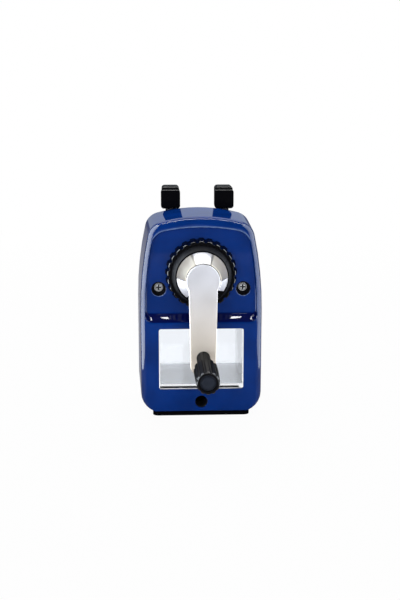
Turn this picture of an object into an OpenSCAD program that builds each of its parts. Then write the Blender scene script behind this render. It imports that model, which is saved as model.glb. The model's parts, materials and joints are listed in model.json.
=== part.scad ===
// Crank pencil sharpener with a drawn steel body, a planetary cutter, a pull-out pencil
// clamp and a clear shavings drawer.
// Frame: origin at the centre of the foot pad's underside, +Z up, +Y towards the pencil
// end, -Y towards the crank. All sizes are millimetres.

/* [Body shell] */
// Width of the shell across the crank face
body_w = 66.8; // [64:0.2:72]
// Height of the crown above the table
body_h = 111.6; // [109:0.2:118]
// Depth of the shell from the crank face to the pencil end
body_d = 51; // [50:0.5:58]
// Thickness of the drawn sheet
sheet = 1.0; // [0.8:0.1:1.2]
// How far each side widens towards the pencil end
flare = 2.0; // [0:0.1:3]
// Radius of the edge round the crank face
edge_r = 3.4; // [2:0.1:4]
// Radius of the arched crown
crown_r = 85; // [75:1:110]
// Radius of the two top corners
corner_r = 9.5; // [8:0.5:12]
// Radius of the two lower corners
foot_r = 11; // [8:0.5:12]
// Radius of the leaning upper sides
lean_r = 196; // [150:1:260]
// Height at which the sides begin to lean in
waist_z = 60; // [58:1:62]

/* [Crank face] */
// Depth of the sunk panel round the crank
panel_depth = 4; // [3:0.1:5]
// Frame width left at each side of the sunk panel
panel_side = 2.8; // [2:0.1:4]
// Frame width left above the sunk panel
panel_top = 5.8; // [4:0.1:8]
// Lower edge of the flat of the sunk panel
panel_z = 58.4; // [57:0.1:59.5]
// Height of the sloping ledge under the panel
ledge_h = 6.2; // [5:0.1:6.6]
// Rounding of the panel's rim
rim_round = 1.0; // [0.5:0.1:1.5]
// Fillet between the panel's wall and its floor
floor_round = 0.8; // [0.4:0.1:1.2]
// Width of the drawer window
window_w = 46.8; // [40:0.2:48]
// Height of the drawer window
window_h = 34.4; // [28:0.2:35]
// Lower edge of the drawer window
window_z = 15.5; // [15:0.1:18]
// Radius of the desk clamp hole
clamp_r = 3.5; // [3:0.1:4]
// Height of the desk clamp hole
clamp_z = 8.3; // [8.2:0.1:9]

/* [Base] */
// Thickness of the rubber foot pad
pad_t = 2.4; // [2:0.1:4]
// Thickness of the base plate
plate_t = 1.2; // [1:0.1:2]
// Radius of the base screw shank
base_screw_r = 1.45; // [1.2:0.05:1.8]

/* [Crank and knob] */
// Height of the crank axis
axis_z = 80.3; // [79:0.1:82]
// Distance from the crank axis to the knob axis
crank_r = 41; // [36:0.5:46]
// Radius of the hub skirt at the collar
skirt_r = 13.65; // [12.5:0.05:14]
// Radius of the hub skirt at its front
skirt_front_r = 9.6; // [9:0.05:10]
// Depth of the hub skirt
skirt_len = 10.2; // [9:0.1:12]
// Thickness of the crank strip
arm_t = 1.2; // [1:0.1:1.6]
// Width of the crank strip beside the hub
arm_w = 15.2; // [13:0.1:16]
// Width of the crank strip at the knob
arm_end_w = 13.4; // [12:0.1:15]
// Length of the crank strip past the knob axis
arm_tail = 9.7; // [7:0.1:11]
// Depth of the folded edges of the crank strip
arm_fold = 2.6; // [2:0.1:4]
// Radius of the knob axle
axle_r = 1.5; // [1.2:0.05:1.8]
// Radius of the slim part of the knob
knob_neck_r = 3.65; // [3.3:0.05:4]
// Length of the slim part of the knob
knob_neck_len = 21.5; // [18:0.5:32]
// Radius of the grip of the knob
knob_r = 5.8; // [5.2:0.05:7]
// Swell of the grip behind its end
knob_swell = 0.35; // [0:0.05:0.6]
// Whole length of the knob
knob_len = 49; // [42:0.5:56]
// Number of grooves round the grip
knob_grooves = 12; // [8:1:16]

/* [Cutter unit] */
// Radius of the collar rim beside the panel
rim_r = 19.7; // [19:0.1:20]
// Radius of the collar rim at its front
rim_front_r = 18.6; // [18:0.1:18.9]
// Length of the fluted rim
rim_len = 6.4; // [5:0.1:8]
// Number of grip flutes round the rim
rim_flutes = 25; // [18:1:30]
// Radius of the collar nose
nose_r = 16.2; // [15.5:0.1:17]
// Radius of the nose at the hub
nose_tip_r = 14.4; // [13.8:0.1:15]
// Length of the collar in front of the panel
collar_len = 13.9; // [13.5:0.1:16]
// Radius of the collar spigot in the body
spigot_r = 16.95; // [16.5:0.05:17.2]
// Radius of the journal that turns in the bush
journal_r = 6.45; // [6.2:0.05:6.8]
// Wall of the bearing bush
bush_wall = 1.5; // [1:0.1:2]
// Gear module
gear_m = 0.8; // [0.75:0.05:0.85]
// Teeth of the internal ring gear
ring_teeth = 27; // [26:1:28]
// Teeth of the cutter pinion
pinion_teeth = 14; // [13:1:15]
// Tilt of the cutter axle from the crank axis
cutter_tilt = 9; // [8:0.5:10]
// Radius of the cutter burr
burr_r = 5.5; // [5:0.1:5.7]
// Length of the cutter burr
burr_len = 23.3; // [20:0.1:24]
// Number of cutting flutes
burr_flutes = 9; // [6:1:12]
// Radius of the cutter axle
cutter_axle_r = 1.5; // [1.2:0.05:1.8]
// Outer radius of the carrier cage
cage_r = 15.6; // [15:0.1:16]
// Radius of the pencil bore through the carrier
pencil_r = 4.3; // [4:0.1:4.6]
// Radius of the carrier's tail, which turns in the tail bush
tail_r = 6.5; // [6.2:0.1:6.8]
// How far the collar twists to unlock
unlock_angle = 30; // [25:1:35]

/* [Pencil clamp] */
// Width of the clamp's front plate
clip_w = 54; // [53:0.5:58]
// Upper edge of the clamp's front plate
clip_top = 106.5; // [104:0.5:108]
// Lower edge of the clamp's front plate
clip_z = 55.5; // [54.5:0.5:56]
// Thickness of the clamp's front plate
clip_t = 1.2; // [1:0.1:1.6]
// Travel of the clamp when it is pulled out
clip_travel = 23; // [18:1:25]
// Thickness of each lever
lever_t = 1.5; // [1.2:0.1:1.8]
// Distance of each lever pivot from the middle
pivot_x = 9.5; // [9:0.1:10.5]
// Height of the lever pivots
pivot_z = 61.5; // [61:0.1:63]
// Distance of each thumb cap from the middle
cap_x = 15.75; // [15:0.05:17]
// Width of a thumb cap
cap_w = 11.3; // [10:0.1:12]
// Height of a thumb cap
cap_h = 11.6; // [10:0.1:13]
// Depth of a thumb cap
cap_d = 14; // [12:0.1:16]
// Rise of a thumb cap behind its face
cap_rise = 1.7; // [0.5:0.1:2.5]
// Half of the gap between the closed jaws
jaw_gap = 2.6; // [2.2:0.1:3]
// Angle that a lever swings when it is squeezed
squeeze_angle = 7; // [5:0.5:8]
// Radius of the two guide rods
rod_r = 2.0; // [1.5:0.1:2.2]
// Distance of each guide rod from the middle
rod_x = 21.2; // [20.8:0.1:21.6]
// Height of the guide rods
rod_z = 88; // [86:0.5:90]
// Radius of the pencil opening
mouth_r = 4.6; // [4.4:0.1:5]

/* [Drawer] */
// Outer width of the drawer
drawer_w = 49; // [46:0.2:50]
// Height of the drawer
drawer_h = 34.9; // [30:0.1:35.2]
// Wall of the drawer
drawer_wall = 1.6; // [1.2:0.1:2]

/* [Hidden] */
$fn = 64;

// Clearances
run = 0.05;        // radial clearance of a shaft that turns or slides
seat = 0.1;        // gap between parts that are fastened face to face
gap = 0.3;         // gap between parts that move past each other
cut = 1;           // how far a cutting shape runs past a face

// Planes along Y, from the crank side to the pencil side
face_y = -body_d / 2;
end_y = body_d / 2;
panel_y = face_y + panel_depth;
frame_y = panel_y + sheet;
frame_t = 2;
frame_back_y = frame_y + frame_t;
end_plate_t = 1.5;
end_plate_y = end_y - 3;
end_face_y = end_plate_y + end_plate_t;

// Body
half_w = body_w / 2;
shell_z = pad_t;
foot_cut = 71;
foot_keep = 0.25;
floor_x = half_w - foot_r + foot_r * cos(foot_cut);
corner_x = floor_x - 3.6;
leg_x = floor_x - 6.5;
flange_x = floor_x - 7;
flange_y = 6;
base_z = shell_z + sheet;
base_top = base_z + plate_t;

// Crank-side screws and the posts that they draw the frame onto
post_x = 23.3;
post_z = axis_z - 8.7;
post_r = 3.5;
cup_r = 3.95;
cup_depth = 6.3;
thread_r = 1.5;
screw_r = thread_r - run;
screw_head_r = 2.45;
screw_head_h = 1.5;
screw_grip = 8;
cup_floor_y = panel_y + cup_depth;
boss_t = 3.4;
post_y = cup_floor_y + boss_t;

// Collar and its bayonet
rim_back_y = panel_y - gap;
rim_front_y = rim_back_y - rim_len;
nose_front_y = panel_y - collar_len;
rim_taper = atan((rim_r - rim_front_r) / rim_len);
spigot_wall = 1.95;
lug_r = spigot_r + 1.65;
lug_angle = 20;
lug_t = 1.8;
lug_y = frame_back_y + gap;
spigot_back_y = lug_y + lug_t;
lugs = 3;

// Gears
tilt_y = panel_y - 5.7;
gear_offset = gear_m * (ring_teeth - pinion_teeth) / 2;
pinion_pitch = gear_m * pinion_teeth / 2;
pinion_half = 2.4;
ring_back_y = tilt_y + 2.9;
ring_front_y = tilt_y - 3.6;
ring_outer_r = 13.6;
backlash = 0.3;
gear_tip = 0.85;
ring_wall_y = ring_front_y - seat;
shoulder_y = ring_wall_y + 0.2;
bush_y = ring_wall_y;
bush_r = journal_r + run + bush_wall;
bush_flange = 1.5;
bush_flange_t = 0.3;
web_r = 9;

// Crank
hub_back_y = nose_front_y - 2 * bush_flange_t;
arm_back_y = hub_back_y - skirt_len;
arm_y = arm_back_y - arm_t;
core_r = 7.4;
drive_r = 4;
disc_r = skirt_front_r - 0.8;
knob_z = axis_z - crank_r;
knob_y = arm_y - 0.7;
knob_end_y = knob_y - knob_len;

// Cutter
burr_start = pinion_half + 1.8;
burr_end = burr_start + burr_len;
axle_start = -5.5;
axle_end = burr_end + 6;
cage_y = ring_back_y + 0.5;
cage_wide_y = cage_y + 12;
ring_wall = 5;
cage_end_y = tilt_y + burr_end * cos(cutter_tilt) + ring_wall + 1.4;
tail_y = end_plate_y - 0.5;

// Pencil clamp
clip_back_y = end_y + 1;
clip_depth = 7.7;
clip_face_y = clip_back_y + clip_depth;
clip_round = 4;
clip_waist = 6.5;
bezel_len = 4.4;
bezel_funnel = 1.4;
bezel_spread = 5.4;
bezel_edge = 1.6;
bezel_wall = 1.75;
clip_front_y = clip_face_y - clip_t;
bridge_t = 1.2;
bridge_y = clip_back_y + 0.1;
left_y = bridge_y + bridge_t + 0.5;
right_y = left_y + lever_t + 0.5;
pin_r = 1.75;
stem_w = 6;
cap_z = body_h - 1.1;
cap_y = end_y + 0.5;
cap_round = 1.9;
clip_ring_t = 0.8;
rod_bush_len = 4.5;
rod_bush_y = end_face_y + 1 - rod_bush_len;
spring_closed = 7.9;
rod_end_y = rod_bush_y - clip_travel - spring_closed - clip_ring_t - 1;
spring_z = clip_top - 7.5;

// Drawer
shelf_t = 1;
shelf_top = window_z + 0.2;
drawer_z = shelf_top + 0.15;
drawer_y = face_y + sheet + 0.4;
drawer_front_y = end_face_y + seat;
drawer_front_t = 2.5;
floor_t = 2;

// ---------- Shared shapes ----------

// Stands an XZ outline up between two planes of Y.
module slab(y0, y1) {
    translate([0, y1, 0]) rotate([90, 0, 0]) linear_extrude(y1 - y0) children();
}

// A round bar along Y.
module bar(x, z, r, y0, y1) {
    translate([x, y0, z]) rotate([-90, 0, 0]) cylinder(r = r, h = y1 - y0);
}

// A profile of [radius, y] points turned about an axis along Y.
module turned(profile, z = axis_z, x = 0) {
    translate([x, 0, z]) rotate([-90, 0, 0]) rotate_extrude() polygon(profile);
}

// A ring sector about the crank axis, angles measured from straight up.
module sector(r0, r1, a0, a1, y0, y1) {
    steps = 6;
    angles = [for (i = [0 : steps]) a0 + (a1 - a0) * i / steps];
    translate([0, 0, axis_z]) slab(y0, y1)
        polygon(concat([for (a = angles) r1 * [sin(a), cos(a)]],
            [for (i = [steps : -1 : 0]) r0 * [sin(angles[i]), cos(angles[i])]]));
}

// Puts what is drawn along +Z on the tilted cutter axle, with +Y away from the crank axis.
module on_cutter_axle() {
    translate([0, tilt_y, axis_z - gear_offset]) rotate([-90 - cutter_tilt, 0, 0]) children();
}

module both_sides() {
    for (side = [0, 1]) mirror([side, 0, 0]) children();
}

function mix(a, b, t) = a + (b - a) * t;
function smooth(t) = t * t * (3 - 2 * t);
function on_arc(c, r, a) = c + r * [cos(a), sin(a)];
function arc(c, r, a0, a1, n) = [for (i = [0 : n]) on_arc(c, r, mix(a0, a1, i / n))];

// A symmetric outline from its right half, which ends at the top middle.
function both(half) = concat(half, [for (i = [len(half) - 2 : -1 : 0]) [-half[i][0], half[i][1]]]);

// Right half of an arch: a leaning side, a corner and a crown, each tangent to the next.
function arch(w, top, crown, corner, lean, waist) =
    let (side_c = [w - lean, waist], crown_c = [0, top - crown],
        r_side = lean - corner, r_crown = crown - corner,
        d = norm(crown_c - side_c), u = (crown_c - side_c) / d,
        along = (r_side * r_side - r_crown * r_crown + d * d) / (2 * d),
        across = sqrt(r_side * r_side - along * along),
        corner_c = side_c + u * along + across * [-u[1], u[0]],
        a1 = atan2(corner_c[1] - side_c[1], corner_c[0] - side_c[0]),
        a2 = atan2(corner_c[1] - crown_c[1], corner_c[0] - crown_c[0]))
    concat(arc(side_c, lean, 0, a1, 4), arc(corner_c, corner, a1 + 8, a2 - 4, 7),
        arc(crown_c, crown, a2, 90, 5));

// Outline of the shell, inset evenly by wall and by the edge rounding, which is less at the foot.
function shell_half(wall, round_in) =
    let (inset = wall + round_in, foot_c = [half_w - foot_r, shell_z + foot_r * sin(foot_cut)],
        foot = [for (i = [0 : 5]) let (t = i / 5)
            on_arc(foot_c, foot_r - wall - round_in * mix(foot_keep, 1, t), -foot_cut * (1 - t))])
    concat(foot, arch(half_w - inset, body_h - inset, crown_r - inset,
        corner_r - inset, lean_r - inset, waist_z));

function shell_outline(wall, round_in = 0) = both(shell_half(wall, round_in));

function widen(y) = 1 + flare / half_w * max(0, y - face_y) / body_d;
function ring_at(outline, y, wider = 1) = [for (p = outline) [p[0] * wider, y, p[1]]];

// A solid through rings of equal length, ordered along +Y.
module loft(rings) {
    n = len(rings[0]);
    last = (len(rings) - 1) * n;
    sides = [for (j = [0 : len(rings) - 2], i = [0 : n - 1])
        let (a = j * n + i, b = j * n + (i + 1) % n) each [[a, b, b + n], [a, b + n, a + n]]];
    polyhedron([for (r = rings) each r], concat([[for (i = [n - 1 : -1 : 0]) i]], sides,
        [[for (i = [0 : n - 1]) last + i]]), convexity = 8);
}

module shell_solid(wall, end) {
    r = edge_r - wall;
    y0 = face_y + wall;
    steps = 4;
    loft(concat(
        [for (i = [0 : steps]) let (a = 90 * i / steps, y = y0 + r * (1 - cos(a)))
            ring_at(shell_outline(wall, r * (1 - sin(a))), y, widen(y))],
        [ring_at(shell_outline(wall), end, widen(end))]));
}

// Outline of the sunk panel, grown sideways and upwards, with its lower edge at z.
function panel_outline(z, corner, grow_side, grow_top) =
    let (w = half_w - panel_side + grow_side, top = body_h - panel_top + grow_top)
    both(concat(arc([w - corner, z + corner], corner, -90, -4, 4),
        arch(w, top, crown_r + 20, corner_r + grow_top, lean_r, max(waist_z, z + corner))));

// How far the panel's outline spreads at depth d: rounded at the rim, filleted at the floor.
function fillet(r, d) = r - sqrt(r * r - pow(max(0, r - d), 2));
function spread(d) = fillet(rim_round, d) - fillet(floor_round, panel_depth - d);

module panel_solid(grow_side, grow_top, back, front) {
    steps = 8;
    loft(concat(
        [ring_at(panel_outline(panel_z - ledge_h - back, 5, grow_side + rim_round, grow_top + rim_round),
            front)],
        [for (i = [steps : -1 : 0]) let (t = i / steps, d = panel_depth * (1 - smooth(t)), g = spread(d))
            ring_at(panel_outline(mix(panel_z, panel_z - ledge_h, t) - back, mix(1.5, 5, t),
                grow_side + g, grow_top + g), face_y + d + back)]));
}

function rounded(w, h, r) = concat(arc([w / 2 - r, h - r], r, 0, 90, 4),
    arc([r - w / 2, h - r], r, 90, 180, 4), arc([r - w / 2, r], r, 180, 270, 4),
    arc([w / 2 - r, r], r, 270, 360, 4));

// Places each corner screw of the base.
module base_corners() {
    for (x = [-1, 1], y = [-1, 1])
        translate([x * corner_x, y * (body_d / 2 - 9.5), 0]) children();
}

// Involute gear outline with a tooth on +Y; thick adds to the width of each tooth.
function involute(a) = tan(a) * 180 / PI - a;
function gear_points(teeth, m, tip, root, thick) =
    let (pitch = m * teeth / 2, base = pitch * cos(20), half = 90 / teeth + thick * 90 / (PI * pitch),
        flank = [for (i = [0 : 4]) let (r = mix(max(root, base), tip, i / 4),
            a = half + involute(20) - involute(acos(min(1, base / r)))) [r, a]])
    [for (k = [0 : teeth - 1]) let (c = 90 + k * 360 / teeth) each concat(
        [on_arc([0, 0], root, c - flank[0][1])], [for (p = flank) on_arc([0, 0], p[0], c - p[1])],
        [for (i = [4 : -1 : 0]) on_arc([0, 0], flank[i][0], c + flank[i][1])],
        [on_arc([0, 0], root, c + flank[0][1])])];

// A Phillips screw along +Y with its head's face at y.
module cross_screw(x, z, y, length) {
    translate([x, y, z]) rotate([-90, 0, 0]) difference() {
        union() {
            intersection() {
                cylinder(r = screw_head_r, h = screw_head_h);
                translate([0, 0, 4]) sphere(r = 4.1);
            }
            translate([0, 0, screw_head_h - 0.01]) cylinder(r = screw_r, h = length + 0.01);
        }
        for (a = [0, 90]) rotate([0, 0, a]) translate([-1.6, -0.45, -cut]) cube([3.2, 0.9, cut + 0.9]);
    }
}

// ---------- Body ----------

module body_shell() {
    color([0.03, 0.10, 0.35]) difference() {
        shell_solid(0, end_y);
        difference() {
            shell_solid(sheet, end_y + cut);
            panel_solid(panel_side - 0.6, sheet, sheet, face_y + sheet / 2);
        }
        panel_solid(0, 0, 0, face_y - cut);
        translate([0, 0, window_z]) slab(face_y - cut, face_y + sheet + gap)
            polygon(rounded(window_w, window_h, 1.2));
        bar(0, axis_z, spigot_r + gap + 0.2, panel_y - cut, frame_y + cut);
        bar(0, clamp_z, clamp_r, face_y - cut, face_y + sheet + cut);
        both_sides() bar(post_x, post_z, cup_r, panel_y - cut, frame_y + cut);
        translate([-flange_x, face_y + flange_y, 0]) cube([2 * flange_x, body_d, base_z + 0.5]);
        base_corners() translate([0, 0, shell_z - cut]) cylinder(r = base_screw_r + gap, h = 3 * cut);
    }
}

module base_plate() {
    plate_x = floor_x - 0.5;
    boss_w = 13;
    boss_y = face_y + sheet + gap;
    boss_len = 12;
    color([0.12, 0.12, 0.13]) difference() {
        union() {
            translate([-plate_x, face_y + edge_r, base_z])
                cube([2 * plate_x, end_plate_y - seat - face_y - edge_r, plate_t]);
            translate([-boss_w / 2, boss_y, clamp_z - clamp_r - 0.4])
                cube([boss_w, boss_len, 2 * clamp_r + 1.6]);
        }
        bar(0, clamp_z, clamp_r, boss_y - cut, boss_y + boss_len + cut);
        base_corners() translate([0, 0, base_z - cut])
            cylinder(r = base_screw_r + run, h = plate_t + 2 * cut);
    }
}

module foot_pad() {
    pad_w = 2 * floor_x + 2;
    pad_d = body_d - 2.5;
    color([0.05, 0.05, 0.05]) difference() {
        linear_extrude(pad_t) translate([0, -pad_d / 2]) polygon(rounded(pad_w, pad_d, 3));
        base_corners() translate([0, 0, -cut]) cylinder(r = 2 * base_screw_r + 0.6, h = pad_t + 2 * cut);
    }
}

module base_screws() {
    head_h = 1.5;
    color([0.75, 0.75, 0.77]) base_corners() difference() {
        union() {
            translate([0, 0, shell_z - head_h]) cylinder(r = 2 * base_screw_r - 0.1, h = head_h);
            translate([0, 0, shell_z - 0.01]) cylinder(r = base_screw_r, h = sheet + plate_t + 2);
        }
        for (a = [0, 90]) rotate([0, 0, a]) translate([-1.3, -0.3, shell_z - head_h - cut])
            cube([2.6, 0.6, cut + 0.8]);
    }
}

module drawer_shelf() {
    inner = drawer_w / 2 + gap;
    front = face_y + sheet + gap;
    length = end_plate_y - seat - front;
    under = shelf_top - shelf_t;
    color([0.78, 0.79, 0.80]) {
        translate([-inner - shelf_t, front, under]) cube([2 * (inner + shelf_t), length, shelf_t]);
        both_sides() {
            translate([inner, front, under]) cube([shelf_t, length, 7]);
            translate([leg_x, front + 2, base_top]) cube([shelf_t, length - 4, under - base_top + 0.01]);
        }
    }
}

module socket_frame() {
    edge = 3.2;
    color([0.09, 0.09, 0.10]) difference() {
        union() {
            slab(frame_y + run, frame_back_y) polygon(panel_outline(panel_z - 2.4, 2, -edge, -edge));
            both_sides() bar(post_x, post_z, post_r + 2.2, frame_y + run, post_y);
            for (k = [0 : lugs - 1]) let (a = 360 / lugs * k - lug_angle / 2 - 5)
                sector(spigot_r + gap, lug_r + 0.4, a - 5, a, frame_y + run, lug_y + lug_t - gap);
        }
        bar(0, axis_z, spigot_r + run, frame_y, frame_back_y + cut);
        for (k = [0 : lugs - 1]) let (a = 360 / lugs * k + unlock_angle)
            sector(spigot_r - 1, lug_r + gap, a - lug_angle / 2 - 2, a + lug_angle / 2 + 2,
                frame_y - cut, frame_back_y + cut);
        both_sides() {
            bar(post_x, post_z, cup_r - gap, frame_y - cut, cup_floor_y);
            bar(post_x, post_z, screw_r + gap, cup_floor_y - cut, post_y + cut);
        }
    }
}

module frame_screws() {
    color([0.80, 0.81, 0.82]) both_sides()
        cross_screw(post_x, post_z, cup_floor_y - screw_head_h, boss_t + screw_grip);
}

module tie_posts() {
    color([0.70, 0.71, 0.72]) both_sides() difference() {
        bar(post_x, post_z, post_r, post_y, end_plate_y);
        bar(post_x, post_z, thread_r, post_y - cut, post_y + screw_grip + 2);
        bar(post_x, post_z, thread_r, end_plate_y - screw_grip - 2, end_plate_y + cut);
    }
}

module end_plate() {
    wider = widen(end_plate_y);
    color([0.03, 0.10, 0.35]) difference() {
        slab(end_plate_y, end_face_y)
            polygon([for (p = shell_outline(sheet + seat)) [p[0] * wider, p[1]]]);
        translate([0, 0, drawer_z - gap]) slab(end_plate_y - cut, end_face_y + cut)
            polygon(rounded(drawer_w + 3 * gap, drawer_h + 2 * gap, 1.5));
        bar(0, axis_z, tail_r + run + 2.5, end_plate_y - cut, end_face_y + cut);
        both_sides() {
            bar(rod_x, rod_z, rod_r + run + 1.5, end_plate_y - cut, end_face_y + cut);
            bar(post_x, post_z, screw_r + 0.15, end_plate_y - cut, end_face_y + cut);
        }
    }
}

module end_screws() {
    color([0.80, 0.81, 0.82]) translate([0, end_face_y * 2, 0]) mirror([0, 1, 0]) both_sides()
        cross_screw(post_x, post_z, end_face_y - screw_head_h, end_plate_t + screw_grip);
}

module tail_bush() {
    length = 8;
    flange = 1.5;
    color([0.93, 0.93, 0.90]) turned([
        [tail_r + run, end_face_y - length], [tail_r + run, end_face_y + 1],
        [tail_r + run + 2.5, end_face_y + 1], [tail_r + run + 2.5, end_plate_y - seat],
        [tail_r + run + 2.5 + flange, end_plate_y - seat],
        [tail_r + run + 2.5 + flange, end_plate_y - seat - flange],
        [tail_r + run + 2.5, end_plate_y - seat - flange], [tail_r + run + 2.5, end_face_y - length]]);
}

module rod_bushes() {
    color([0.93, 0.93, 0.90]) both_sides() difference() {
        union() {
            bar(rod_x, rod_z, rod_r + run + 1.5, rod_bush_y, rod_bush_y + rod_bush_len);
            bar(rod_x, rod_z, rod_r + run + 2.2, rod_bush_y, end_plate_y - seat);
        }
        bar(rod_x, rod_z, rod_r + run, rod_bush_y - cut, rod_bush_y + rod_bush_len + cut);
    }
}

// Wire rings stand for each turn of the two return springs.
module return_springs() {
    wire = 0.35;
    turns = 11;
    y0 = rod_end_y + 1 + clip_ring_t + wire;
    y1 = rod_bush_y - wire;
    color([0.62, 0.63, 0.65]) both_sides() for (i = [0 : turns - 1])
        translate([rod_x, mix(y0, y1, i / (turns - 1)), rod_z]) rotate([-90, 0, 0])
            rotate_extrude() translate([rod_r + 0.35 + wire, 0]) circle(r = wire, $fn = 16);
}

// ---------- Collar ----------

module cutter_collar() {
    inner_r = spigot_r - spigot_wall;
    step_y = rim_front_y - 0.4;
    color([0.04, 0.04, 0.045]) difference() {
        union() {
            turned([[bush_r, nose_front_y], [nose_tip_r, nose_front_y],
                [nose_r, nose_front_y + 3.4], [nose_r, step_y], [rim_front_r - 0.4, step_y],
                [rim_front_r, rim_front_y], [rim_r, rim_back_y], [spigot_r, rim_back_y],
                [spigot_r, spigot_back_y], [inner_r, spigot_back_y], [inner_r, ring_back_y + 0.2],
                [ring_outer_r, ring_back_y + 0.2], [ring_outer_r, ring_wall_y], [bush_r, ring_wall_y]]);
            for (k = [0 : lugs - 1]) let (a = 360 / lugs * k)
                sector(spigot_r - 0.5, lug_r, a - lug_angle / 2, a + lug_angle / 2, lug_y, lug_y + lug_t);
        }
        for (k = [0 : rim_flutes - 1]) translate([0, 0, axis_z]) rotate([0, 360 * (k + 0.5) / rim_flutes, 0])
            translate([0, rim_back_y + cut, rim_r + 0.3 + cut * tan(rim_taper)])
                rotate([90 + rim_taper, 0, 0]) cylinder(r = 1.25, h = rim_len + 3 * cut);
    }
}

module ring_gear() {
    past = 0.5;
    ring_len = ring_back_y - ring_front_y;
    mesh_r = gear_offset + pinion_pitch / cos(cutter_tilt);
    start_r = mesh_r + (ring_front_y - past - tilt_y) * tan(cutter_tilt);
    end_r = start_r + (ring_len + 2 * past) * tan(cutter_tilt);
    m = 2 * start_r / ring_teeth;
    color([0.72, 0.72, 0.70]) translate([0, ring_front_y, axis_z]) rotate([-90, 0, 0]) difference() {
        cylinder(r = ring_outer_r, h = ring_len);
        translate([0, 0, -past]) linear_extrude(ring_len + 2 * past, scale = end_r / start_r)
            polygon(gear_points(ring_teeth, m, start_r + 1.1 * gear_m,
                start_r - gear_tip * gear_m, backlash));
    }
}

module collar_bush() {
    color([0.72, 0.52, 0.25]) turned([[journal_r + run, nose_front_y - bush_flange_t],
        [bush_r + bush_flange, nose_front_y - bush_flange_t], [bush_r + bush_flange, nose_front_y],
        [bush_r, nose_front_y], [bush_r, bush_y], [journal_r + run, bush_y]]);
}

// ---------- Crank ----------

// Conical skirt wall between the hub's back and the crank strip.
module skirt(front_r) {
    turned([[skirt_r - arm_t, hub_back_y], [skirt_r, hub_back_y], [skirt_front_r, arm_back_y],
        [skirt_front_r, arm_back_y - 0.5], [front_r, arm_back_y - 0.5], [front_r, arm_back_y]]);
}

module crank_hub() {
    slit = 0.15;
    color([0.80, 0.79, 0.77]) union() {
        intersection() {
            union() {
                skirt(skirt_front_r - 0.4);
                turned([[core_r, hub_back_y - 1.2], [skirt_r - 0.5, hub_back_y - 1.2],
                    [skirt_r - 0.5, hub_back_y], [core_r, hub_back_y]]);
            }
            translate([-skirt_r - cut, arm_y, axis_z + slit]) cube([2 * (skirt_r + cut), 20, skirt_r + cut]);
        }
        difference() {
            turned([[drive_r + run, arm_back_y], [core_r + 0.1, arm_back_y], [core_r + 0.1, hub_back_y],
                [drive_r + run, hub_back_y]]);
            translate([0, (arm_back_y + hub_back_y) / 2, axis_z - 10]) cylinder(r = 1.25, h = 20);
        }
    }
}

module crank_arm() {
    slit = 0.15;
    half_root = arm_w / 2;
    half_end = arm_end_w / 2;
    corner = 4.5;
    tail_z = knob_z - arm_tail + corner;
    fold_top = axis_z - disc_r - 0.5;
    strip = [[-half_root, axis_z - 3], [half_root, axis_z - 3], [half_end, knob_z], [-half_end, knob_z]];
    color([0.80, 0.79, 0.77]) difference() {
        union() {
            bar(0, axis_z, disc_r, arm_y, arm_back_y);
            slab(arm_y, arm_back_y) polygon(concat([strip[3], strip[0], strip[1], strip[2]],
                arc([half_end - corner, tail_z], corner, 360, 270, 5),
                arc([corner - half_end, tail_z], corner, 270, 180, 5)));
            difference() {
                slab(arm_back_y - 0.01, arm_back_y + arm_fold) polygon(strip);
                slab(arm_back_y - cut, arm_back_y + arm_fold + cut)
                    polygon([for (p = strip) [p[0] - sign(p[0]) * 1, p[1] + (p[1] > knob_z ? cut : -cut)]]);
                translate([-20, arm_back_y - cut, fold_top]) cube([40, 20, 40]);
            }
            difference() {
                skirt(disc_r - 0.6);
                translate([-20, arm_y - cut, axis_z - slit]) cube([40, 20, 40]);
                sector(0, 40, 123, 180, arm_y - cut, hub_back_y + cut);
                sector(0, 40, 179, 218, arm_y - cut, hub_back_y + cut);
            }
        }
        bar(0, knob_z, axle_r + run / 2, arm_y - cut, arm_back_y + cut);
    }
}

module hub_pin() {
    color([0.60, 0.60, 0.62]) translate([0, (arm_back_y + hub_back_y) / 2, axis_z - core_r + 0.2])
        cylinder(r = 1.25 - run, h = 2 * core_r - 0.4);
}

module knob_axle() {
    washer_y = knob_y + 0.2;
    color([0.72, 0.72, 0.74]) union() {
        bar(0, knob_z, 2 * axle_r + 0.2, arm_back_y, arm_back_y + 1.2);
        bar(0, knob_z, axle_r, knob_end_y + 4.4, arm_back_y + 0.1);
        bar(0, knob_z, axle_r + 1, washer_y, arm_y);
        bar(0, knob_z, axle_r + 1, knob_end_y + 3.4, knob_end_y + 4.4);
    }
}

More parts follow.
